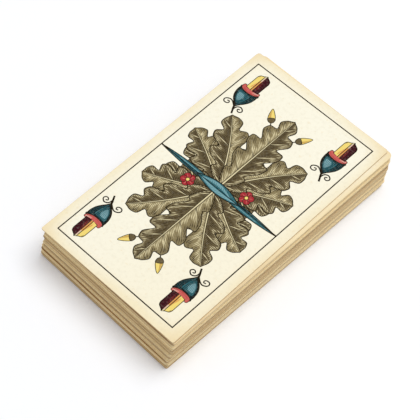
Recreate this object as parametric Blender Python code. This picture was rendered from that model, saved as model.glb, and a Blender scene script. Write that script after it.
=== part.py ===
"""A squared pack of thirty-six German-suited playing cards, lying face up. Metres, with +Z up."""

import math
from collections import namedtuple

import bmesh
import bpy
from mathutils import Matrix, Vector

# One card: a square-cut pasteboard, with its corners worn more at its far end
CARD_LENGTH = 0.100
CARD_WIDTH = 0.0591
CARD_THICKNESS = 0.00041
NEAR_CORNER_RADIUS = 0.0004
FAR_CORNER_RADIUS = 0.0011
CORNER_STEPS = 4

# The pack: four suits of nine, sorted from the table up
SUITS = ("bells", "hearts", "leaves", "acorns")
RANKS = ("six", "seven", "eight", "nine", "ten", "under", "over", "king", "deuce")
AIR_GAP = 0.000035  # between one card and the next
GRIP_INSET = 0.012  # from the near short end to the point that a hand fans the cards about

# How the pack lies: each packet's slip at the grip and its turn, against the top card
Packet = namedtuple("Packet", "cards slip_x slip_y turn_deg")
PACKETS = (
    Packet(5, -0.0009, -0.0014, -1.35),
    Packet(8, -0.0004, -0.0012, -1.25),
    Packet(7, 0.0, -0.0006, -1.05),
    Packet(7, 0.0004, -0.0002, -0.90),
    Packet(5, 0.0006, 0.0001, -0.80),
    Packet(2, 0.0004, 0.00045, -0.55),
    Packet(1, 0.0008, 0.0002, -0.62),
)  # from the table up; the rest of the cards lie square with the top one
LOOSE_SLIP = 0.00022  # how far one card strays within its packet
LOOSE_TURN_DEG = 0.12
STRAY_X, STRAY_Y, STRAY_TURN = 2.4, 1.7, 3.1  # radians from one card's stray to the next

# Paper colours, linear
CREAM = (0.93, 0.85, 0.68, 1.0)
TAN = (0.62, 0.47, 0.28, 1.0)


def card_names():
    """Every card's name, from the table up."""
    return [f"{suit}_{rank}" for suit in SUITS for rank in RANKS]


def packet_of(number):
    """The packet that holds a card, counted from the table."""
    for packet in PACKETS:
        if number < packet.cards:
            return packet
        number -= packet.cards
    return Packet(0, 0.0, 0.0, 0.0)


def lie_of(number, count):
    """A card's slip at the grip and its turn, in radians. The top card has none."""
    packet = packet_of(number)
    below_top = count - 1 - number
    slip = Vector((packet.slip_x, packet.slip_y, 0.0))
    slip += LOOSE_SLIP * Vector((math.sin(STRAY_X * below_top), math.sin(STRAY_Y * below_top), 0.0))
    turn_deg = packet.turn_deg + LOOSE_TURN_DEG * math.sin(STRAY_TURN * below_top)
    return slip, math.radians(turn_deg)


def card_mesh(name, slip):
    """A card with its grip at the origin, moved by its slip, from its underside up."""
    shape = bmesh.new()
    bmesh.ops.create_grid(shape, x_segments=1, y_segments=1, size=0.5)
    bmesh.ops.scale(shape, verts=shape.verts, vec=(CARD_WIDTH, CARD_LENGTH, 1.0))
    near = [corner for corner in shape.verts if corner.co.y < 0]
    far = [corner for corner in shape.verts if corner.co.y > 0]
    for corners, radius in ((near, NEAR_CORNER_RADIUS), (far, FAR_CORNER_RADIUS)):
        bmesh.ops.bevel(
            shape,
            geom=corners,
            affect="VERTICES",
            offset=radius,
            segments=CORNER_STEPS,
            profile=0.5,
        )
    grip_to_middle = Vector((0.0, CARD_LENGTH / 2 - GRIP_INSET, 0.0))
    bmesh.ops.translate(shape, verts=shape.verts, vec=grip_to_middle + slip)
    face_up = bmesh.ops.extrude_face_region(shape, geom=shape.faces[:])["geom"]
    raised = [part for part in face_up if isinstance(part, bmesh.types.BMVert)]
    bmesh.ops.translate(shape, verts=raised, vec=(0.0, 0.0, CARD_THICKNESS))
    bmesh.ops.recalc_face_normals(shape, faces=shape.faces)
    mesh = bpy.data.meshes.new(name)
    shape.to_mesh(mesh)
    shape.free()
    return mesh


def pasteboard(name, shade):
    """Aged paper, between cream and tan."""
    material = bpy.data.materials.new(name)
    material.use_nodes = True
    surface = material.node_tree.nodes["Principled BSDF"]
    colour = [light + (dark - light) * shade for light, dark in zip(CREAM, TAN)]
    surface.inputs["Base Color"].default_value = colour
    surface.inputs["Roughness"].default_value = 0.8
    surface.inputs["Metallic"].default_value = 0.0
    return material


def add_card(name, number, count):
    """One card in its place in the pack, with its origin on the axis that it is fanned about."""
    slip, turn = lie_of(number, count)
    card = bpy.data.objects.new(name, card_mesh(name, slip))
    grip = Vector((0.0, GRIP_INSET - CARD_LENGTH / 2, number * (CARD_THICKNESS + AIR_GAP)))
    card.matrix_world = Matrix.Translation(grip) @ Matrix.Rotation(turn, 4, "Z")
    shade = 0.0 if number == count - 1 else 0.5 + 0.3 * math.sin(STRAY_X * number)
    card.data.materials.append(pasteboard(name, shade))
    bpy.context.collection.objects.link(card)


def main():
    for leftover in list(bpy.data.objects):
        bpy.data.objects.remove(leftover, do_unlink=True)
    names = card_names()
    for number, name in enumerate(names):
        add_card(name, number, len(names))


main()
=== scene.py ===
"""The looks of a pack of German-suited playing cards: printed faces, worn edges and patterned backs."""

import cmath
import functools
import math

import bmesh
import bpy
from mathutils import Matrix, Vector
from mathutils.geometry import delaunay_2d_cdt


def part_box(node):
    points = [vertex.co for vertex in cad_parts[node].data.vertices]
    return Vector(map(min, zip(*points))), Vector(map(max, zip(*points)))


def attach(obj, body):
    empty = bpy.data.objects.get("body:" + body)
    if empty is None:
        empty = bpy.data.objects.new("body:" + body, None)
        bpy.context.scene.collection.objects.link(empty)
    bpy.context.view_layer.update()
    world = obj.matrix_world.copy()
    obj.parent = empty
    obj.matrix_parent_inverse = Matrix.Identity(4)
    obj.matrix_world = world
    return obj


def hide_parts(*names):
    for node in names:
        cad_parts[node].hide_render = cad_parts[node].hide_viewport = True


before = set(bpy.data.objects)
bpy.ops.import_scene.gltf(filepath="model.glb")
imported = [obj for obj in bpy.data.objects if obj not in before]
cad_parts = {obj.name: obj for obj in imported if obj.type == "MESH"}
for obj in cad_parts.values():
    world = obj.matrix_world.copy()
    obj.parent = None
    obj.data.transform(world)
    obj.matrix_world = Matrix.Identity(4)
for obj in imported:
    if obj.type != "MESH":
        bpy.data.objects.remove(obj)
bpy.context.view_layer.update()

# One card, in millimetres, as the frame's top card lies square with the axes
MM = 0.001
TOP_CARD = "acorns_deuce"
TOP_LOW, TOP_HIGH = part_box(TOP_CARD)
HALF_WIDTH = (TOP_HIGH.x - TOP_LOW.x) / 2 / MM
HALF_LENGTH = (TOP_HIGH.y - TOP_LOW.y) / 2 / MM
THICKNESS = (TOP_HIGH.z - TOP_LOW.z) / MM
LAST = len(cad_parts) - 1  # the top card's number, counted from the table
PITCH = TOP_LOW.z / LAST  # from one card to the next, in metres
NEAR_CORNER_RADIUS = 0.7  # worn a little rounder than the solid's
FAR_CORNER_RADIUS = 1.1  # the top card's, and the least that the others have
FAR_WEAR = 0.45  # the share of it by which the others' wear swings
WEAR_SWING = 1.9  # radians from one card's wear to the next
CORNER_STEPS = 6
RIM = ((0.10, 0.0), (0.03, 0.03), (0.0, 0.10))  # how far in from the cut and down from the face
ASKEW_SLIP = 0.13  # how far the top card's long cuts lie off to the right
ASKEW_TAPER = 0.24  # how far each of them leans out at the near end and in at the far one

# The print, in millimetres from the middle of the face
FRAME_MARGIN = 3.8
FRAME_LINE = 0.42
PEN = 0.24
PRINT_SLIP = -0.3 + 0.0j  # how far the print inside the frame line sits off the middle

# The photograph's view of the pack
LENS = 147.3
SENSOR = 36.0
VIEW_AZIMUTH = 44.48
VIEW_ELEVATION = 56.83
VIEW_DISTANCE = 0.5496
VIEW_AIM = Vector((0.00387, -0.00745, TOP_HIGH.z))


def srgb(red, green, blue):
    """A colour as it looks on a screen, from 0 to 255, as the linear colour that a shader takes."""
    levels = (red / 255, green / 255, blue / 255)
    return (*(c / 12.92 if c <= 0.04045 else ((c + 0.055) / 1.055) ** 2.4 for c in levels), 1.0)


PAPER = srgb(254, 250, 231)
AGED_PAPER = srgb(249, 236, 200)
STAINED_PAPER = srgb(237, 208, 150)
DUSTY_PAPER = srgb(216, 206, 182)
INKS = {
    "black": srgb(34, 26, 10),
    "bronze": srgb(104, 91, 63),
    "khaki": srgb(142, 128, 92),
    "umber": srgb(54, 43, 26),
    "straw": srgb(226, 213, 170),
    "teal": srgb(48, 102, 110),
    "deep_teal": srgb(17, 31, 33),
    "pale_teal": srgb(122, 168, 176),
    "coral": srgb(206, 96, 90),
    "pink": srgb(230, 178, 164),
    "crimson": srgb(168, 46, 54),
    "russet": srgb(124, 46, 42),
    "yellow": srgb(247, 221, 122),
    "ochre": srgb(210, 172, 92),
    "amber": srgb(226, 156, 84),
    "maroon": srgb(62, 20, 28),
    "green": srgb(92, 132, 74),
    "deep_green": srgb(48, 78, 50),
}


# Drawing: a point is a complex number, x across the card and y along it


class Print:
    """What is printed on a card: closed outlines in millimetres, each in its ink, in printing order."""

    def __init__(self):
        self.areas = []

    def area(self, outline, ink):
        self.areas.append((list(outline), ink))

    def line(self, path, widths, ink):
        """A line along a path, from one width to another."""
        last = len(path) - 1
        banks = []
        for i, point in enumerate(path):
            ahead = path[min(i + 1, last)] - path[max(i - 1, 0)]
            half = (widths[0] + (widths[1] - widths[0]) * i / last) / 2
            side = 1j * half * ahead / abs(ahead)
            banks.append((point + side, point - side))
        for near, far in zip(banks, banks[1:]):
            middle = sum(near + far) / 4
            self.area(sorted(near + far, key=lambda corner: cmath.phase(corner - middle)), ink)

    def outlined(self, outline, ink, pen=PEN):
        """An area with a black line round it."""
        self.area(outline, ink)
        self.line([*outline, outline[0]], (pen, pen), "black")

    def fleck(self, start, end, width, ink):
        """A short stroke, pointed at both ends."""
        middle = start + 0.45 * (end - start)
        side = 0.5j * width * (end - start) / abs(end - start)
        self.area((start, middle + side, end, middle - side), ink)

    def stamp(self, sign, at=0j, turn=0.0, size=1.0):
        """Another print, laid on this one."""
        spin = cmath.rect(size, math.radians(turn))
        for outline, ink in sign.areas:
            self.area([at + spin * point for point in outline], ink)

    def both_ends(self, sign, at=0j, turn=0.0, size=1.0):
        """The same print at each end of the card, so that it reads either way up."""
        self.stamp(sign, at, turn, size)
        self.stamp(sign, -at, turn + 180, size)

    def mirrored(self):
        """This print, left for right."""
        sign = Print()
        for outline, ink in self.areas:
            sign.area(flipped(outline), ink)
        return sign


def flipped(outline):
    """An outline, left for right."""
    return [-point.conjugate() for point in outline]


def smooth(points, closed=True, steps=6):
    """A rounded path through a few points."""
    count = len(points)

    def at(i):
        return points[i % count] if closed else points[min(max(i, 0), count - 1)]

    path = []
    for i in range(count if closed else count - 1):
        p, q, r, s = at(i - 1), at(i), at(i + 1), at(i + 2)
        for k in range(steps):
            t = k / steps
            bend = t**2 * (p - 2.5 * q + 2 * r - s / 2) + t**3 * (3 * (q - r) + s - p) / 2
            path.append(q + t * (r - p) / 2 + bend)
    return path if closed else [*path, points[-1]]


def ring(radius, steps=24, at=0j):
    return [at + cmath.rect(radius, math.tau * k / steps) for k in range(steps)]


def block(half_width, half_length, at=0j):
    sides = ((-1, -1), (1, -1), (1, 1), (-1, 1))
    return [at + complex(x * half_width, y * half_length) for x, y in sides]


# The suit signs, each drawn upright about its own middle


@functools.cache
def acorn():
    """A nut, half yellow and half maroon, in a red rim on a shaded cup, with tendrils on its stalk."""
    sign = Print()
    sign.line(smooth([0.1 - 8.3j, 0.4 - 9.4j, 1.0 - 10.5j, 1.7 - 11.8j], False), (0.75, 0.65), "black")
    left_curl = [
        0.4 - 9.2j, -1.3 - 8.0j, -2.5 - 7.6j, -3.7 - 8.1j, -4.2 - 8.9j, -3.8 - 9.7j,
        -2.8 - 9.8j, -2.1 - 9.3j, -2.3 - 8.6j, -3.1 - 8.8j,
    ]
    right_curl = [
        0.9 - 10.3j, 1.0 - 9.1j, 1.5 - 8.3j, 2.5 - 7.9j, 3.5 - 8.4j, 3.8 - 9.1j,
        3.2 - 9.8j, 2.4 - 9.7j, 2.1 - 9.1j, 2.8 - 8.8j,
    ]
    for curl in (left_curl, right_curl):
        sign.line(smooth(curl, False), (0.48, 0.4), "black")
    cup = smooth([
        -3.3 - 0.6j, -3.8 - 1.6j, -3.8 - 3.1j, -3.4 - 4.8j, -2.6 - 6.2j, -1.4 - 7.4j, -0.3 - 8.3j,
        0.3 - 9.0j, 0.7 - 8.2j, 1.2 - 7.4j, 2.1 - 6.2j, 2.9 - 4.8j, 3.35 - 3.2j, 3.4 - 1.6j, 3.0 - 0.6j,
    ])
    sign.outlined(cup, "deep_teal", 0.42)
    sign.area(
        smooth([
            -3.0 - 2.5j, -2.9 - 3.9j, -2.3 - 5.5j, -1.2 - 6.8j, -0.3 - 7.6j,
            0.5 - 6.9j, 1.1 - 5.6j, 1.4 - 4.1j, 1.3 - 2.7j, -1.0 - 2.5j,
        ]),
        "teal",
    )
    shine = [
        -2.4 - 3.4j, -2.4 - 4.4j, -1.8 - 5.6j, -0.9 - 6.6j,
        -0.3 - 6.0j, 0.1 - 4.7j, -0.2 - 3.5j, -1.2 - 3.2j,
    ]
    sign.area(smooth(shine), "pale_teal")
    for k in range(13):
        foot = -3.2 + 0.5 * k
        hatch = [complex(foot, -1.8), complex(1.12 * foot, -3.8), complex(0.1 + 0.12 * foot, -8.0)]
        weight = 0.12 + 0.2 * (k / 8) ** 2 if k < 9 else 0.1
        sign.line(smooth(hatch, False, 5), (weight, 0.06), "deep_teal" if k < 9 else "teal")
    rim = smooth([
        -3.75 - 0.3j, -3.4 + 0.45j, -2.4 + 0.4j, 0.0 + 0.1j, 2.4 + 0.3j, 3.2 + 0.3j,
        3.4 - 0.3j, 2.8 - 1.1j, 1.45 - 1.7j, -0.4 - 1.95j, -2.5 - 1.75j, -3.6 - 1.2j,
    ])
    sign.outlined(rim, "coral", 0.22)
    for k in range(6):
        low = complex(1.0 + 0.34 * k, -1.35 + 0.16 * k)
        sign.fleck(low, complex(1.15 + 0.36 * k, 0.05), 0.16 + 0.05 * k, "pink")
    for k in range(13):
        start = complex(-3.4 + 0.5 * k, -0.9 - 0.95 * math.sin(math.pi * (k + 1) / 14))
        sign.fleck(start, start + complex(0.12, 0.75), 0.24, "crimson" if k < 10 else "russet")
    yellow_tip = smooth([-2.5 + 5.4j, -2.1 + 6.4j, -1.0 + 6.95j, -0.6 + 7.35j], False)
    maroon_tip = smooth([0.0 + 7.85j, 0.4 + 7.4j, 1.15 + 7.0j, 2.05 + 6.45j, 2.45 + 5.5j], False)
    sign.outlined([-2.5 - 0.1j, *yellow_tip, -0.6 - 0.3j], "yellow", 0.26)
    sign.outlined([0.15 - 0.3j, *maroon_tip, 2.45 - 0.1j], "maroon", 0.3)
    sign.outlined((-0.6 - 0.3j, -0.6 + 7.3j, 0.0 + 7.7j, 0.15 - 0.3j), "straw", 0.16)
    sign.area((-0.5 - 0.2j, -0.5 + 4.4j, -0.05 + 5.2j, 0.05 - 0.2j), "amber")
    sign.area((-0.15 + 4.6j, -0.25 + 6.6j, 0.0 + 7.0j, 0.05 + 4.6j), "pink")
    sign.line((-0.5 - 0.3j, -0.5 + 6.6j), (0.14, 0.1), "umber")
    for k in range(4):
        right, left = 0.35 + 0.22 * k, -0.8 - 0.2 * k
        sign.fleck(complex(right, -0.1), complex(right, 6.2 - 0.8 * k), 0.17, "russet")
        sign.fleck(complex(left, 0.0), complex(left, 5.4 - 1.0 * k), 0.18, "amber")
    sign.fleck(-0.9 + 6.9j, -0.2 + 7.7j, 0.3, "umber")
    sign.fleck(-2.35 + 5.3j, -1.7 + 6.6j, 0.2, "umber")
    return sign


@functools.cache
def leaf():
    """A heart-shaped leaf on a stalk, light on one side and dark on the other."""
    sign = Print()
    sign.line(smooth([0 - 4.6j, 0.2 - 6.6j, 1.2 - 8.6j], False), (0.7, 0.5), "black")
    right = [0 + 7.4j, 1.6 + 5.2j, 3.8 + 2.8j, 4.9 - 0.4j, 4.2 - 3.6j, 2.0 - 5.4j, 0 - 4.4j]
    left = flipped(right)
    sign.outlined(smooth(left, False), "green", 0.3)
    sign.outlined(smooth(right, False), "deep_green", 0.3)
    sign.line((0 - 4.4j, 0 + 6.6j), (0.45, 0.15), "black")
    for k in range(6):
        foot = complex(0, -3.6 + 1.6 * k)
        reach = 3.9 - 0.55 * k
        sign.fleck(foot, foot + complex(-reach, 1.9), 0.22, "deep_green")
        sign.fleck(foot, foot + complex(reach, 1.9), 0.22, "green")
    return sign


@functools.cache
def heart():
    """A red heart, shaded on its right."""
    sign = Print()
    right = [0 + 3.2j, 1.6 + 5.0j, 3.8 + 4.9j, 5.0 + 2.6j, 4.2 - 0.8j, 2.2 - 4.0j, 0 - 6.6j]
    left = flipped(reversed(right))
    sign.outlined(smooth(right, False)[:-1] + smooth(left, False)[:-1], "coral", 0.34)
    shade = [2.4 + 4.4j, 4.2 + 3.0j, 3.6 - 0.6j, 1.4 - 4.2j, 0.6 - 4.6j, 2.4 - 0.4j, 3.0 + 2.4j]
    sign.area(smooth(shade), "crimson")
    for k in range(6):
        sign.fleck(complex(-3.9 + 0.5 * k, 3.4), complex(-3.3 + 0.6 * k, 0.6 - 0.3 * k), 0.14, "crimson")
    return sign


@functools.cache
def bell():
    """A round hawk bell with a loop, a banded waist and a slit."""
    sign = Print()
    sign.outlined(ring(1.2, 16, 5.2j), "ochre", 0.34)
    sign.area(ring(0.5, 12, 5.3j), "paper")
    sign.outlined(ring(4.6, 36), "yellow", 0.36)
    shade = [1.2 + 4.0j, 3.6 + 2.4j, 4.2 - 0.6j, 2.8 - 3.2j, 0.8 - 4.2j, 2.4 - 1.0j, 2.4 + 2.0j]
    sign.area(smooth(shade), "ochre")
    sign.outlined(block(4.55, 0.7), "coral", 0.22)
    for k in range(9):
        sign.fleck(complex(-4.0 + k, -0.6), complex(-3.7 + k, 0.6), 0.14, "crimson")
    sign.line((-0.1 - 0.9j, -0.1 - 3.4j), (0.36, 0.36), "black")
    sign.area(ring(0.7, 14, -0.1 - 3.3j), "black")
    for k in range(5):
        sign.fleck(complex(1.4 + 0.5 * k, 3.4 - 0.5 * k), complex(1.6 + 0.5 * k, 1.0), 0.14, "umber")
    return sign


SUIT_SIGNS = {"acorns": acorn, "leaves": leaf, "hearts": heart, "bells": bell}
PIP_SIZE = {"acorns": 0.72, "leaves": 0.86, "hearts": 0.92, "bells": 0.92}


# The middle of a deuce: an oak spray, turned about for each end, on a band across the card


def oak_leaf(length, breadth, lobes, bend):
    """An engraved oak leaf, with its stalk at the origin and its tip upward."""
    sign = Print()

    def rib(t):
        return length * t * 1j * cmath.rect(1, -math.radians(bend) * t)

    def along(t):
        step = rib(t + 0.01) - rib(t - 0.01)
        return step / abs(step)

    def reach(t):
        swell = math.sin(math.pi * min(max(t, 0.0), 1.0) ** 0.85) ** 0.7
        return breadth * swell * (1 - 0.46 * abs(math.cos(math.pi * lobes * t)) ** 5)

    def out(t, share, side):
        return rib(t) + share * reach(t) * along(t) * cmath.rect(1, side * math.radians(60))

    steps = 12 * lobes
    spine = [rib(k / steps) for k in range(steps + 1)]
    left, right = ([out(k / steps, 1, side) for k in range(steps + 1)] for side in (1, -1))
    sign.area(left + spine[-2:0:-1], "khaki")
    sign.area(right + spine[-2:0:-1], "bronze")
    strokes = round(length / 0.62)
    for k in range(2, strokes - 1):
        t = k / strokes
        stray = math.sin(5.1 * k + 0.7 * lobes)
        sign.fleck(out(t, 0.06, 1), out(t + 0.01, 0.50 + 0.22 * stray, 1), 0.30, "straw")
        sign.fleck(out(t, 0.64 + 0.2 * stray, 1), out(t + 0.01, 0.97, 1), 0.28, "umber")
        sign.fleck(out(t, 0.06, -1), out(t + 0.01, 0.58 - 0.2 * stray, -1), 0.30, "umber")
        sign.fleck(out(t, 0.66 - 0.2 * stray, -1), out(t + 0.01, 0.95, -1), 0.24, "straw")
    for lobe in range(lobes):
        foot, tip = (lobe + 0.26) / lobes, (lobe + 0.50) / lobes
        for side in (1, -1):
            sign.line((rib(foot), out(tip, 0.9, side)), (0.5, 0.2), "umber")
            sign.fleck(rib(foot), out(tip, 0.84, side), 0.3, "straw")
    sign.line(left + right[-2::-1], (0.3, 0.3), "black")
    sign.line(spine[:-2], (1.1, 0.4), "black")
    sign.line(spine[:-2], (0.55, 0.12), "straw")
    return sign


@functools.cache
def rosette():
    """A small red flower with a yellow eye."""
    sign = Print()
    for k in range(5):
        sign.outlined(ring(1.15, 14, cmath.rect(1.25, math.radians(90 + 72 * k))), "crimson", 0.2)
    for k in range(5):
        spoke = cmath.rect(1, math.radians(90 + 72 * k))
        sign.fleck(0.6 * spoke, 2.1 * spoke, 0.34, "coral")
    sign.outlined(ring(0.62, 14), "yellow", 0.2)
    return sign


@functools.cache
def bud():
    """A yellow bud in a small cup, on a curved stem from the origin."""
    sign = Print()
    sign.line(smooth([0j, -0.4 + 5j, 0.6 + 10j, 3.2 + 14.2j], False), (0.55, 0.35), "black")
    head = Print()
    head.outlined(smooth([-1.0 + 0j, -1.1 + 1.6j, 0 + 4.4j, 1.1 + 1.6j, 1.0 + 0j]), "yellow", 0.24)
    head.area(smooth([0.2 + 0.3j, 0.2 + 2.4j, 0.1 + 3.8j, 0.9 + 1.6j, 0.8 + 0.3j]), "ochre")
    cup = [-1.3 + 0.3j, -0.9 - 1.0j, 0 - 1.5j, 0.9 - 1.0j, 1.3 + 0.3j, 0 + 0.6j]
    head.outlined(smooth(cup), "bronze", 0.24)
    sign.stamp(head, 3.4 + 14.6j, -32)
    return sign


@functools.cache
def oak_spray():
    """Half of a deuce's middle, rising from the band."""
    sign = Print()
    sign.area([cmath.rect(13.0, math.pi * k / 18) for k in range(19)], "umber")
    root = 0.5j
    leaves = ((19.5, 5.8, 3, -8, 80), (25.0, 7.0, 4, 6, 56), (29.5, 7.4, 4, 8, 27))
    for length, breadth, lobes, bend, turn in leaves:
        side_leaf = oak_leaf(length, breadth, lobes, bend)
        sign.stamp(side_leaf, root, -turn)
        sign.stamp(side_leaf.mirrored(), root, turn)
    sign.stamp(bud(), 2.0 + 18j, -4)
    sign.stamp(bud().mirrored(), -2.0 + 18j, 4)
    sign.stamp(oak_leaf(36.5, 8.0, 5, 0), root)
    sign.stamp(rosette(), 9.3 + 4.0j, 10, 1.1)
    return sign


@functools.cache
def middle_band():
    """A teal ribbon across the card: a strip from each side, and a wider fold over their ends."""
    sign = Print()
    reach = HALF_WIDTH - FRAME_MARGIN

    def lens(start, end, above, below):
        """A strip from one pointed end to the other."""

        def bank(t, height):
            return complex(start + (end - start) * t, height * math.sin(math.pi * t) ** 0.9)

        shares = [k / 24 for k in range(25)]
        return [bank(t, above) for t in shares] + [bank(t, -below) for t in shares[-2:0:-1]]

    for side in (1, -1):
        strip = Print()
        strip.outlined(lens(-reach, 4.0, 1.35, 0.85), "teal", 0.3)
        strip.area(lens(-reach + 8, -3.0, -0.2, 0.6), "deep_teal")
        for k in range(9):
            x = -18.0 + 1.5 * k
            strip.fleck(complex(x, 0.5), complex(x + 2.4, 0.62), 0.3, "pale_teal")
        sign.stamp(strip, 0j, 0 if side > 0 else 180)
    sign.outlined(lens(-9.4, 9.4, 2.4, 1.9), "teal", 0.34)
    sign.area(lens(-7.4, 8.0, -0.3, 1.5), "pale_teal")
    sign.area(lens(-7.6, 5.6, 1.9, -0.8), "pale_teal")
    for k in range(17):
        x = -6.9 + 0.8 * k
        sign.fleck(complex(x, 1.6), complex(x + 0.9, 0.5), 0.2, "teal")
        sign.fleck(complex(x, -1.4), complex(x + 0.7, -0.4), 0.18, "teal")
    sign.line((complex(-reach, 0.1), complex(reach, 0.1)), (0.28, 0.28), "deep_teal")
    for side in (1, -1):
        sign.line((complex(-side * reach, 0.1), complex(-side * (reach - 8), 0.1)), (0.5, 0.28), "black")
    return sign


# The other faces


@functools.cache
def crown():
    """A king's crown with five points."""
    sign = Print()
    points = [-8 + 0j, 8 + 0j, 10 + 10j, 5.6 + 5.4j, 0 + 12j, -5.6 + 5.4j, -10 + 10j]
    sign.outlined(points, "yellow", 0.36)
    sign.area([0.6 + 0.6j, 7.4 + 0.6j, 9 + 8j, 5.6 + 4.4j, 0.6 + 10j], "ochre")
    for ball in (10 + 10.4j, 0 + 12.6j, -10 + 10.4j):
        sign.outlined(ring(1.2, 14, ball), "coral", 0.26)
    sign.outlined([-8.4 - 2.6j, 8.4 - 2.6j, 8.4 + 0.4j, -8.4 + 0.4j], "coral", 0.32)
    for k in range(5):
        sign.outlined(ring(0.9, 12, complex(-6 + 3 * k, -1.1)), "teal", 0.22)
    return sign


@functools.cache
def shield():
    """An over's shield, parted down its middle."""
    sign = Print()
    right = [0 + 9j, 5 + 9.6j, 8.6 + 8.6j, 8.6 + 2j, 6.6 - 4j, 0 - 9.6j]
    left = flipped(right)
    sign.outlined(smooth(right, False), "teal", 0.36)
    sign.outlined(smooth(left, False), "yellow", 0.36)
    for k in range(7):
        sign.fleck(complex(1, 7 - 2 * k), complex(7 - 0.6 * k, 6 - 1.9 * k), 0.3, "deep_teal")
        sign.fleck(complex(-1, 7 - 2 * k), complex(-7 + 0.6 * k, 6 - 1.9 * k), 0.24, "ochre")
    sign.stamp(rosette(), 0.6j, 0, 1.5)
    return sign


@functools.cache
def drum():
    """An under's drum with its cords."""
    sign = Print()
    sign.outlined(block(8, 6), "yellow", 0.36)
    for k in range(8):
        x = -8 + 2 * k
        sign.line((complex(x, -6), complex(x + 1, 6)), (0.3, 0.3), "black")
        sign.line((complex(x + 1, 6), complex(x + 2, -6)), (0.3, 0.3), "black")
    for hoop in (6.4j, -6.4j):
        sign.outlined(block(8.6, 1.1, hoop), "coral", 0.32)
    sign.outlined(smooth([-8.4 + 7.6j, 0 + 6.6j, 8.4 + 7.6j, 0 + 9.4j]), "straw", 0.3)
    return sign


COURT_SIGNS = {"king": crown, "over": shield, "under": drum}
HALF_PIPS = {
    "six": ((-13, 34), (13, 34), (0, 17)),
    "seven": ((-13, 34), (13, 34), (0, 21)),
    "eight": ((-13, 34), (13, 34), (-13, 14), (13, 14)),
    "nine": ((-13, 34), (13, 34), (-13, 14), (13, 14)),
    "ten": ((-14, 35), (14, 35), (-14, 15), (14, 15), (0, 25)),
}
MIDDLE_PIP = ("seven", "nine")
DEUCE_SIGN_PLACES = (19.82 + 36.82j, -19.38 + 36.68j)


def far_wear(node):
    """How much more a card's far corners are worn than the top card's."""
    below_top = round((TOP_LOW.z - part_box(node)[0].z) / PITCH)
    return 1.0 + FAR_WEAR * (1 - math.cos(WEAR_SWING * below_top))


def worn_corner(side_x, side_y, wear):
    """The middle and the radius of a corner's curve. The far corners are worn more."""
    radius = FAR_CORNER_RADIUS * wear if side_y > 0 else NEAR_CORNER_RADIUS
    core_x = math.copysign(HALF_WIDTH - radius, side_x)
    core_y = math.copysign(HALF_LENGTH - radius, side_y)
    return complex(core_x, core_y), radius


def corner_cut(inset, wear):
    """The card's outline with worn corners, a little in from its cut edge."""
    outline = []
    for quarter, sides in enumerate(((1, 1), (-1, 1), (-1, -1), (1, -1))):
        core, radius = worn_corner(*sides, wear)
        for k in range(CORNER_STEPS + 1):
            outline.append(core + cmath.rect(radius - inset, math.pi / 2 * (quarter + k / CORNER_STEPS)))
    return outline


def card_face(suit, rank, wear):
    """Everything printed on one card."""
    face = Print()
    face.area(corner_cut(RIM[0][0], wear), "paper")
    frame_x, frame_y = HALF_WIDTH - FRAME_MARGIN, HALF_LENGTH - FRAME_MARGIN
    face.area(block(frame_x + FRAME_LINE / 2, frame_y + FRAME_LINE / 2), "black")
    face.area(block(frame_x - FRAME_LINE / 2, frame_y - FRAME_LINE / 2), "paper")
    sign, size = SUIT_SIGNS[suit](), PIP_SIZE[suit]
    inner = Print()
    if rank == "deuce":
        inner.both_ends(oak_spray())
        for place in DEUCE_SIGN_PLACES:
            inner.both_ends(sign, place)
    elif rank in COURT_SIGNS:
        inner.both_ends(COURT_SIGNS[rank](), 14j)
        inner.both_ends(sign, -17 + 34j, 0, size)
        if rank != "under":
            inner.both_ends(sign, 17 + 34j, 0, size)
    else:
        for x, y in HALF_PIPS[rank]:
            inner.both_ends(sign, complex(x, y), 0, size)
        if rank in MIDDLE_PIP:
            inner.stamp(sign, 0j, 0, size)
    face.stamp(inner, PRINT_SLIP)
    if rank == "deuce" or rank in COURT_SIGNS:
        face.stamp(middle_band())
    return face


# Shaders


class Value:
    """A number on a shader socket. Arithmetic on it adds Math nodes."""

    def __init__(self, finish, socket):
        self.finish = finish
        self.socket = socket

    def __add__(self, other):
        return self.finish.calc("ADD", self, other)

    def __sub__(self, other):
        return self.finish.calc("SUBTRACT", self, other)

    def __rsub__(self, other):
        return self.finish.calc("SUBTRACT", other, self)

    def __mul__(self, other):
        return self.finish.calc("MULTIPLY", self, other)

    def __truediv__(self, other):
        return self.finish.calc("DIVIDE", self, other)

    def __pow__(self, other):
        return self.finish.calc("POWER", self, other)

    def __abs__(self):
        return self.finish.calc("ABSOLUTE", self)

    def held(self):
        """This number, kept between 0 and 1."""
        return self.finish.calc("MINIMUM", self.finish.calc("MAXIMUM", self, 0.0), 1.0)

    __radd__ = __add__
    __rmul__ = __mul__


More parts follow.
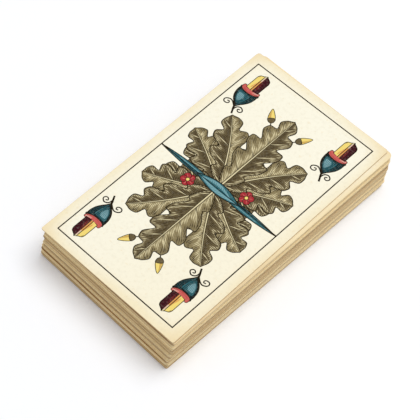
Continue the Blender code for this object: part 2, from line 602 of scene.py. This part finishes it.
class Nodes:
    """A node tree, and what is added to it."""

    def __init__(self, tree):
        self.tree = tree

    def feed(self, socket, value):
        if isinstance(value, Value):
            self.tree.links.new(value.socket, socket)
        else:
            socket.default_value = value

    def node(self, kind, settings=None, inputs=None, output=0):
        """A node of a kind, with its settings made first and then its sockets fed."""
        made = self.tree.nodes.new(kind)
        for name, value in (settings or {}).items():
            setattr(made, name, value)
        for key, value in (inputs or {}).items():
            self.feed(made.inputs[key], value)
        return Value(self, made.outputs[output])

    def calc(self, operation, *numbers):
        return self.node("ShaderNodeMath", {"operation": operation}, dict(enumerate(numbers)))

    def blend(self, share, first, second):
        """A colour between two others."""
        sockets = {0: share, 6: first, 7: second}  # a Mix node's factor and its two colours
        return self.node("ShaderNodeMix", {"data_type": "RGBA"}, sockets, 2)

    def seen_by_eye(self):
        """1 for what the camera sees, straight or in a reflection or through glass, and otherwise 0."""
        kinds = ("Camera", "Glossy", "Transmission")
        rays = [self.node("ShaderNodeLightPath", output=f"Is {kind} Ray") for kind in kinds]
        return self.calc("MAXIMUM", self.calc("MAXIMUM", rays[0], rays[1]), rays[2])


class Finish(Nodes):
    """A material and the nodes that mix it."""

    def __init__(self, name, roughness):
        self.material = bpy.data.materials.new(name)
        self.material.use_nodes = True
        super().__init__(self.material.node_tree)
        self.surface = self.tree.nodes["Principled BSDF"]
        self.surface.inputs["Roughness"].default_value = roughness
        self.surface.inputs["Specular IOR Level"].default_value = 0.3

    def axis(self, vector, number):
        """One number out of a vector's three."""
        return self.node("ShaderNodeSeparateXYZ", inputs={0: vector}, output=number)

    def place(self, number):
        """A spot's place along one axis of the pack, in metres."""
        return self.axis(self.node("ShaderNodeTexCoord", output="Object"), number)

    def on_card(self):
        """How far across and along its card a spot lies, in millimetres from the middle."""
        spot = self.node("ShaderNodeUVMap", {"uv_map": "card"})
        return self.axis(spot, 0), self.axis(spot, 1)

    def from_cut(self):
        """How far in from a long cut and from a short one a spot lies, in millimetres."""
        x, y = self.on_card()
        return HALF_WIDTH - abs(x), HALF_LENGTH - abs(y)

    def grain(self, sizes, detail=2.0):
        """Soft noise, with a size in metres along each axis, from about 0 to 1."""
        place = self.node("ShaderNodeTexCoord", output="Object")
        scale = [1 / size for size in sizes]
        scaled = self.node("ShaderNodeMapping", inputs={"Vector": place, "Scale": scale})
        settings = {"Vector": scaled, "Scale": 1.0, "Detail": detail}
        return (self.node("ShaderNodeTexNoise", inputs=settings) * 2.0 - 0.5).held()

    def wear(self, colour, height, depth):
        """The finished surface: a colour, and a height in metres that roughens it."""
        self.feed(self.surface.inputs["Base Color"], colour)
        bump = self.node("ShaderNodeBump", inputs={"Strength": 0.6, "Distance": depth, "Height": height})
        self.feed(self.surface.inputs["Normal"], bump)
        return self.material


def paper_tone(finish):
    """Cream paper, yellower at the cut and the near end, browner at the corners, with fibres and specks."""
    x, y = finish.on_card()
    to_side, to_end = finish.from_cut()
    cloud = finish.grain((0.022, 0.022, 0.0008))
    to_cut = finish.calc("MINIMUM", to_side, to_end)
    toward_near_end = ((x / HALF_WIDTH - y / HALF_LENGTH) / 2).held()
    aged = ((1 - to_cut / 6.0).held() ** 1.3 * (0.35 + 0.9 * cloud) + 0.45 * toward_near_end).held()
    corner = (1 - to_side / 8.0).held() * (1 - to_end / 8.0).held()
    fibre = finish.grain((0.0009, 0.0003, 0.0008), 3.0)
    dust = ((finish.grain((0.0013, 0.0013, 0.0008), 2.0) - 0.45) * 1.8).held()
    speck = ((finish.grain((0.0012, 0.0012, 0.0008), 0.0) - 0.96) * 12.0).held()
    tone = finish.blend(aged, PAPER, AGED_PAPER)
    tone = finish.blend(0.10 * cloud + 0.06 * fibre, tone, AGED_PAPER)
    tone = finish.blend(0.18 * dust, tone, DUSTY_PAPER)
    return finish.blend((0.5 * corner + 0.35 * speck).held(), tone, STAINED_PAPER), fibre


def face_paper():
    """The paper of a face. Under the top card, its rim is browned like its cut, partly soiling and partly
    painted shade under the top card's overhang, and it takes the cut's painted highlight and shade.
    """
    finish = Finish("face_paper", 0.62)
    tone, fibre = paper_tone(finish)
    along = finish.on_card()[1] / HALF_LENGTH
    to_cut = finish.calc("MINIMUM", *finish.from_cut())
    cards_down = (TOP_LOW.z - finish.place(2)) / PITCH
    under_top = (cards_down + 0.58 - 0.34 * along).held()  # 0 on the top card, and soon 1 below it
    # Soiling and painted shade on the rims below the top card; on the second card they are deepest towards
    # the near end.
    rim_soil_and_shade = under_top * (1.3 - to_cut / 1.5).held()
    tone = finish.blend(0.75 * rim_soil_and_shade, tone, STAINED_PAPER)
    return finish.wear(finish.blend(0.7 * rim_soil_and_shade, tone, cut_tan(finish)), fibre, 0.00002)


# The tones of the cuts, counted in cards from the table
TONE_RUN = 145  # the start of the random card tones, searched for as the run nearest to the photograph's
PACKET_CARDS = 13  # from one lighter packet to the next
PACKET_START = 25
UPPER_CARDS = 6
DARK_CUT = srgb(142, 90, 36)
LIGHT_CUT = srgb(255, 234, 187)
CUT_STREAK = srgb(136, 94, 44)
# painted shade for the gaps between the cards
CUT_GAP_SHADE = srgb(104, 72, 34)


def cut_tan(finish):
    """The tan of a card's cut: in lighter and darker packets, lighter on its right side as a painted
    highlight, and darker on the top card's cut and the second card's right cut as painted shade.
    """
    number = finish.calc("FLOOR", finish.place(2) / PITCH)
    own = finish.node("ShaderNodeTexWhiteNoise", {"noise_dimensions": "1D"}, {"W": number + TONE_RUN})
    packet = finish.calc("SINE", (number - PACKET_START) * (math.tau / PACKET_CARDS))
    upper = ((number - (LAST - UPPER_CARDS)) / 3.0).held()
    top, second = (finish.calc("COMPARE", number, LAST - below, 0.5) for below in (0, 1))
    x, y = finish.on_card()
    right_side = ((x / HALF_WIDTH - 0.9) * 10.0).held()
    toward_near_end = ((20.0 - y) / 30.0).held()
    along = finish.grain((0.02, 0.02, 0.0005), 2.0)
    tone = 0.83 + 0.22 * packet + 1.4 * (own - 0.5) + 0.25 * (along - 0.5)
    # Painted highlight on the right cut of the upper cards, and a painted shadow line on the top card's
    # cut, darkest on its right side.
    tone = tone + 0.1 * upper * right_side - top * (0.1 + 0.4 * right_side)
    # Painted shade under the top card, on the second card's right cut towards the near end.
    tone = tone - 0.6 * second * right_side * toward_near_end
    tan = finish.blend(tone.held(), DARK_CUT, LIGHT_CUT)
    # Painted highlight: the right cut is paled towards the paper's colour.
    return finish.blend(0.2 * right_side, tan, AGED_PAPER)


def printing_ink(name, colour):
    """Ink pressed into the paper, thinner in places so that the paper shows."""
    finish = Finish(f"{name}_ink", 0.7)
    finish.surface.inputs["Specular IOR Level"].default_value = 0.03
    tone, fibre = paper_tone(finish)
    thin = ((finish.grain((0.0007, 0.0007, 0.0008), 2.0) - 0.5) * 1.6).held()
    gaps = 0.03 if name == "black" else 0.10
    return finish.wear(finish.blend(1 - gaps * thin, tone, colour), fibre, 0.00002)


def cut_edge():
    """The pasteboard's cut: streaked along its length, and darkened at its two rims by painted shade
    between the cards.
    """
    finish = Finish("cut_edge", 0.9)
    finish.surface.inputs["Specular IOR Level"].default_value = 0.1
    depth = finish.calc("FRACT", finish.place(2) / PITCH) * (PITCH / (THICKNESS * MM))
    streak = finish.grain((0.007, 0.007, 0.00012), 3.0)
    nick = ((finish.grain((0.0009, 0.0009, 0.0004), 2.0) - 0.5) * 3.0).held()
    # Painted shade between the cards: each card's cut darkens towards its top and bottom rims.
    gap_shade = (abs(depth - 0.5) * 2.0) ** 4.0
    tan = finish.blend(0.1 * streak + 0.16 * nick, cut_tan(finish), CUT_STREAK)
    tan = finish.blend((0.15 * gap_shade).held(), tan, CUT_GAP_SHADE)
    return finish.wear(tan, streak, 0.00003)


BACK_MESH = 3.4
BACK_MARGIN = 2.6
BACK_INK = srgb(96, 72, 66)


def patterned_back():
    """A plain back: a lattice of thin lines with a dot in each mesh, inside a margin."""
    finish = Finish("patterned_back", 0.6)
    tone, fibre = paper_tone(finish)
    x, y = finish.on_card()

    def stripe(across):
        fraction = finish.calc("FRACT", across)
        return ((0.09 - abs(fraction - 0.5)) * 14.0).held()

    rising, falling = (x - y) / BACK_MESH, (x + y) / BACK_MESH
    lines = finish.calc("MAXIMUM", stripe(falling), stripe(rising))
    dot_x = finish.calc("FRACT", falling + 0.5)
    dot_y = finish.calc("FRACT", rising + 0.5)
    away = ((dot_x - 0.5) ** 2.0 + (dot_y - 0.5) ** 2.0) ** 0.5
    dots = ((0.16 - away) * 14.0).held()
    inside = ((finish.calc("MINIMUM", *finish.from_cut()) - BACK_MARGIN) * 6.0).held()
    share = finish.calc("MAXIMUM", lines, dots) * inside * (0.7 + 0.25 * fibre)
    return finish.wear(finish.blend(share, tone, BACK_INK), fibre, 0.00002)


FINISHES = {"paper": face_paper(), "edge": cut_edge(), "back": patterned_back()}
FINISHES.update((name, printing_ink(name, colour)) for name, colour in INKS.items())


# The cards


def lie_of(node):
    """Where a card lies in the pack: the middle of its face, and its turn."""
    low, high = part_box(node)
    cuts = [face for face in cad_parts[node].data.polygons if abs(face.normal.z) < 0.5]
    long_cut = max(cuts, key=lambda face: face.area).normal
    place = Matrix.Translation(((low.x + high.x) / 2, (low.y + high.y) / 2, high.z))
    return place @ Matrix.Rotation(math.atan(long_cut.y / long_cut.x), 4, "Z")


def faced(outline):
    """An outline run anticlockwise, from its leftmost corner."""
    first = min(range(len(outline)), key=lambda i: (outline[i].real, outline[i].imag))
    outline = outline[first:] + outline[:first]
    before, after = outline[0] - outline[-1], outline[1] - outline[0]
    return outline if (before.conjugate() * after).imag > 0 else outline[:1] + outline[:0:-1]


def lay_face(shape, face, slots):
    """The card's face, cut along every printed outline, with each facet in the last ink on it."""
    corners, outlines = [], []
    for outline, _ in face.areas:
        outlines.append(range(len(corners), len(corners) + len(outline)))
        corners += [Vector((point.real, point.imag)) for point in faced(outline)]
    points, _, facets, _, _, printed = delaunay_2d_cdt(corners, [], outlines, 1, 1e-4)
    spots = [shape.verts.new((point.x, point.y, 0.0)) for point in points]
    for facet, layers in zip(facets, printed):
        patch = shape.faces.new([spots[i] for i in facet])
        patch.material_index = slots.index(face.areas[max(layers)][1])


def outward(spot, wear):
    """From the middle of the nearest corner's curve to a spot on the rim, and that corner's radius."""
    core, radius = worn_corner(spot.x, spot.y, wear)
    away = Vector((spot.x - core.real, spot.y - core.imag, 0.0)).normalized()
    return Vector((core.real, core.imag, 0.0)), away, radius


def roll_rim(shape, slots, wear):
    """The cut round the card, rounded over at the face and at the back, and then the back."""
    profile = [*RIM[1:], *((inset, THICKNESS - drop) for inset, drop in reversed(RIM))]
    loop = [edge for edge in shape.edges if edge.is_boundary]
    for inset, drop in profile:
        grown = bmesh.ops.extrude_edge_only(shape, edges=loop)["geom"]
        loop = [part for part in grown if isinstance(part, bmesh.types.BMEdge) and part.is_boundary]
        for part in grown:
            if isinstance(part, bmesh.types.BMFace):
                part.material_index = slots.index("edge")
        for spot in {spot for edge in loop for spot in edge.verts}:
            core, away, radius = outward(spot.co, wear)
            spot.co = core + (radius - inset) * away - Vector((0.0, 0.0, drop))
    bmesh.ops.edgeloop_fill(shape, edges=loop, mat_nr=slots.index("back"))
    bmesh.ops.recalc_face_normals(shape, faces=shape.faces)


def cut_askew(shape):
    """Long cuts that were made a little off the print, and wider apart at the near end."""
    for spot in shape.verts:
        if abs(spot.co.x) > HALF_WIDTH - FRAME_MARGIN / 2:
            spot.co.x += ASKEW_SLIP - math.copysign(ASKEW_TAPER, spot.co.x) * spot.co.y / HALF_LENGTH


def unroll(shape):
    """Two maps: the spot on the card in millimetres, and the face, back and four cuts side by side."""
    own = shape.loops.layers.uv.new("card")
    flat = shape.loops.layers.uv.new("OFBake")
    gap = 1.5
    cut_row, cut_height = 4.5, 3.6
    whole = 4 * HALF_WIDTH + 3 * gap
    for face in shape.faces:
        normal = face.normal
        for loop in face.loops:
            x, y, z = loop.vert.co
            loop[own].uv = (x, y)
            if abs(normal.z) > 0.9:
                middle = HALF_WIDTH + gap if normal.z > 0 else 3 * HALF_WIDTH + 2 * gap
                loop[flat].uv = ((x + middle) / whole, (y + HALF_LENGTH + gap) / whole)
                continue
            along = y if abs(normal.x) > abs(normal.y) else x
            cut = 2 * (abs(normal.x) > abs(normal.y)) + (normal.x + normal.y > 0)
            lift = 2 * HALF_LENGTH + 3 * gap + cut_row * cut - cut_height * z / THICKNESS
            loop[flat].uv = ((along + HALF_LENGTH + gap) / whole, lift / whole)


def add_card(node):
    """A printed card in the place of its solid."""
    suit, rank = node.split("_")
    wear = far_wear(node)
    face = card_face(suit, rank, wear)
    slots = ["paper", "edge", "back", *sorted({ink for _, ink in face.areas} - {"paper"})]
    shape = bmesh.new()
    lay_face(shape, face, slots)
    roll_rim(shape, slots, wear)
    unroll(shape)
    if node == TOP_CARD:
        cut_askew(shape)
    bmesh.ops.scale(shape, verts=shape.verts, vec=(MM, MM, MM))
    bmesh.ops.transform(shape, verts=shape.verts, matrix=lie_of(node))
    mesh = bpy.data.meshes.new(f"printed_{node}")
    shape.to_mesh(mesh)
    shape.free()
    for slot in slots:
        mesh.materials.append(FINISHES[slot])
    card = bpy.data.objects.new(f"printed_{node}", mesh)
    bpy.context.scene.collection.objects.link(card)
    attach(card, node)
    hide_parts(node)


# The stage


TABLE_WHITE = (0.9, 0.9, 0.9, 1.0)
TABLE_SEEN = (0.98, 0.99, 1.0, 1.0)
TABLE_LIFT = (0.051, 0.053, 0.072, 1.0)
WHITE_FROM, WHITE_OVER = 0.2, 0.3  # in metres from the pack


def add_floor():
    """A white table, a little brighter to the camera and white far off, so that only the shadow shows."""
    shape = bmesh.new()
    bmesh.ops.create_grid(shape, x_segments=1, y_segments=1, size=2.0)
    mesh = bpy.data.meshes.new("table")
    shape.to_mesh(mesh)
    shape.free()
    table = bpy.data.objects.new("table", mesh)
    finish = Finish("table_white", 1.0)
    surface = finish.surface.inputs
    seen = finish.seen_by_eye()
    place = finish.node("ShaderNodeTexCoord", output="Object")
    away = finish.node("ShaderNodeVectorMath", {"operation": "LENGTH"}, {0: place}, "Value")
    lift = finish.blend(((away - WHITE_FROM) / WHITE_OVER).held(), TABLE_LIFT, TABLE_WHITE)
    finish.feed(surface["Base Color"], finish.blend(seen, TABLE_WHITE, TABLE_SEEN))
    surface["Specular IOR Level"].default_value = 0.0
    surface["Emission Strength"].default_value = 1.0
    finish.feed(surface["Emission Color"], finish.blend(seen, (0.0, 0.0, 0.0, 1.0), lift))
    mesh.materials.append(finish.material)
    bpy.context.scene.collection.objects.link(table)


def add_light(name, direction, distance, size, power):
    """A square soft light, aimed at the pack."""
    lamp = bpy.data.lights.new(name, "AREA")
    lamp.size = size
    lamp.energy = power
    light = bpy.data.objects.new(name, lamp)
    light.location = Vector(direction).normalized() * distance
    light.rotation_euler = (-light.location).to_track_quat("-Z", "Y").to_euler()
    bpy.context.scene.collection.objects.link(light)


def add_world(level):
    """An even white room, which the camera sees as white."""
    world = bpy.data.worlds.new("room")
    world.use_nodes = True
    room = Nodes(world.node_tree)
    backdrop = room.tree.nodes["Background"].inputs
    backdrop["Color"].default_value = (1.0, 1.0, 1.0, 1.0)
    room.feed(backdrop["Strength"], level + (1 - level) * room.seen_by_eye())
    bpy.context.scene.world = world


def add_camera():
    """A long lens, looking down over the near corner."""
    azimuth, elevation = math.radians(VIEW_AZIMUTH), math.radians(VIEW_ELEVATION)
    level = math.cos(elevation)
    back = Vector((math.sin(azimuth) * level, -math.cos(azimuth) * level, math.sin(elevation)))
    lens = bpy.data.cameras.new("camera")
    lens.lens = LENS
    lens.sensor_width = SENSOR
    lens.clip_start = 0.01
    camera = bpy.data.objects.new("camera", lens)
    camera.location = VIEW_AIM + VIEW_DISTANCE * back
    camera.rotation_euler = (-back).to_track_quat("-Z", "Y").to_euler()
    bpy.context.scene.collection.objects.link(camera)
    bpy.context.scene.camera = camera


add_camera()
add_floor()
add_world(level=0.5)
add_light("window", direction=(0.19, 0.32, 0.93), distance=2.5, size=1.6, power=36.0)
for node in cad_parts:
    add_card(node)
bpy.context.scene.view_settings.view_transform = "Standard"

bpy.context.view_layer.update()
